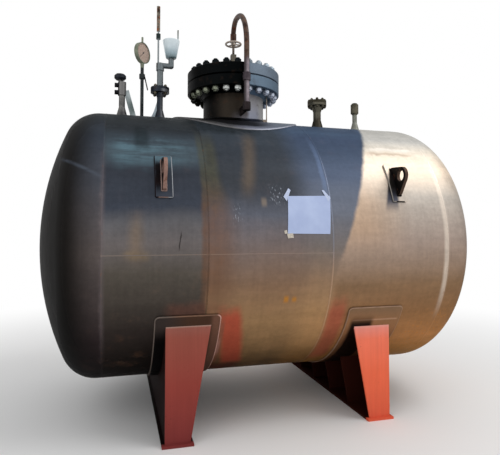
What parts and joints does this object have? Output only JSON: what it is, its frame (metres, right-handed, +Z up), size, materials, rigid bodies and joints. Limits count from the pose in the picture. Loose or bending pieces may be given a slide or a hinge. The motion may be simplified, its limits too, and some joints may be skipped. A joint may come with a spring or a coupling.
{
  "type": "horizontal pressure tank on saddles",
  "caption": "Horizontal steel pressure tank with dished heads on two red saddles, a bolted manway with a cover davit, lifting lugs and small top nozzles",
  "frame": {"origin": "on the ground, under the middle of the tank", "axes": "+X along the tank towards its pale end, -Y towards the viewer, on the davit side, +Z up"},
  "size_m": [3.2978, 2.0874, 3.195],
  "materials": {
    "mill_steel": "dark weathered mill scale with rust bloom and water stains",
    "pale_steel": "cleaned plate, pale grey to tan, sun bleached",
    "red_primer": "matt red oxide primer, brushed on, worn at the edges",
    "forged_steel": "dark forged and rolled steel with a grey sheen and light rust",
    "nut_steel": "dull pale plated nuts and dark stud ends",
    "rusty_steel": "brown surface rust",
    "olive_steel": "olive brown weathered steel",
    "gasket_sheet": "compressed sheet gasket",
    "pale_plastic": "pale blue grey plastic, slightly cloudy",
    "gauge_case": "grey green gauge case with a dull beige face"
  },
  "bodies": {
    "root": {"coupling_cap": "olive_steel", "coupling_stem": "olive_steel", "cover_lug": "forged_steel", "davit_arm": "rusty_steel", "davit_foot_bracket": "forged_steel", "davit_guide": "forged_steel", "davit_screw": "rusty_steel", "gauge": "gauge_case", "gauge_stand": "forged_steel", "head_left": "mill_steel", "head_right": "pale_steel", "level_rod": "rusty_steel", "lifting_lug_left_back": "forged_steel", "lifting_lug_left_front": "forged_steel", "lifting_lug_pads": "mill_steel", "lifting_lug_right_back": "forged_steel", "lifting_lug_right_front": "forged_steel", "manway_cover": "forged_steel", "manway_flange": "forged_steel", "manway_gasket": "gasket_sheet", "manway_neck": "forged_steel", "manway_pad": "mill_steel", "manway_side_rod": "rusty_steel", "manway_studs": "nut_steel", "nozzle_blind": "olive_steel", "nozzle_bolts": "olive_steel", "nozzle_neck": "olive_steel", "outlet_cap": "pale_plastic", "relief_nozzle": "forged_steel", "relief_valve": "forged_steel", "saddle_base_left": "red_primer", "saddle_base_right": "red_primer", "saddle_ribs_left": "red_primer", "saddle_ribs_right": "red_primer", "saddle_wear_plate_left": "mill_steel", "saddle_wear_plate_right": "pale_steel", "saddle_web_left": "red_primer", "saddle_web_right": "red_primer", "shell_course_left": "mill_steel", "shell_course_middle": "mill_steel", "shell_course_right": "pale_steel", "valve_body": "forged_steel", "valve_brace": "forged_steel", "valve_stub": "forged_steel", "valve_wheel": "forged_steel"}
  },
  "joints": []
}
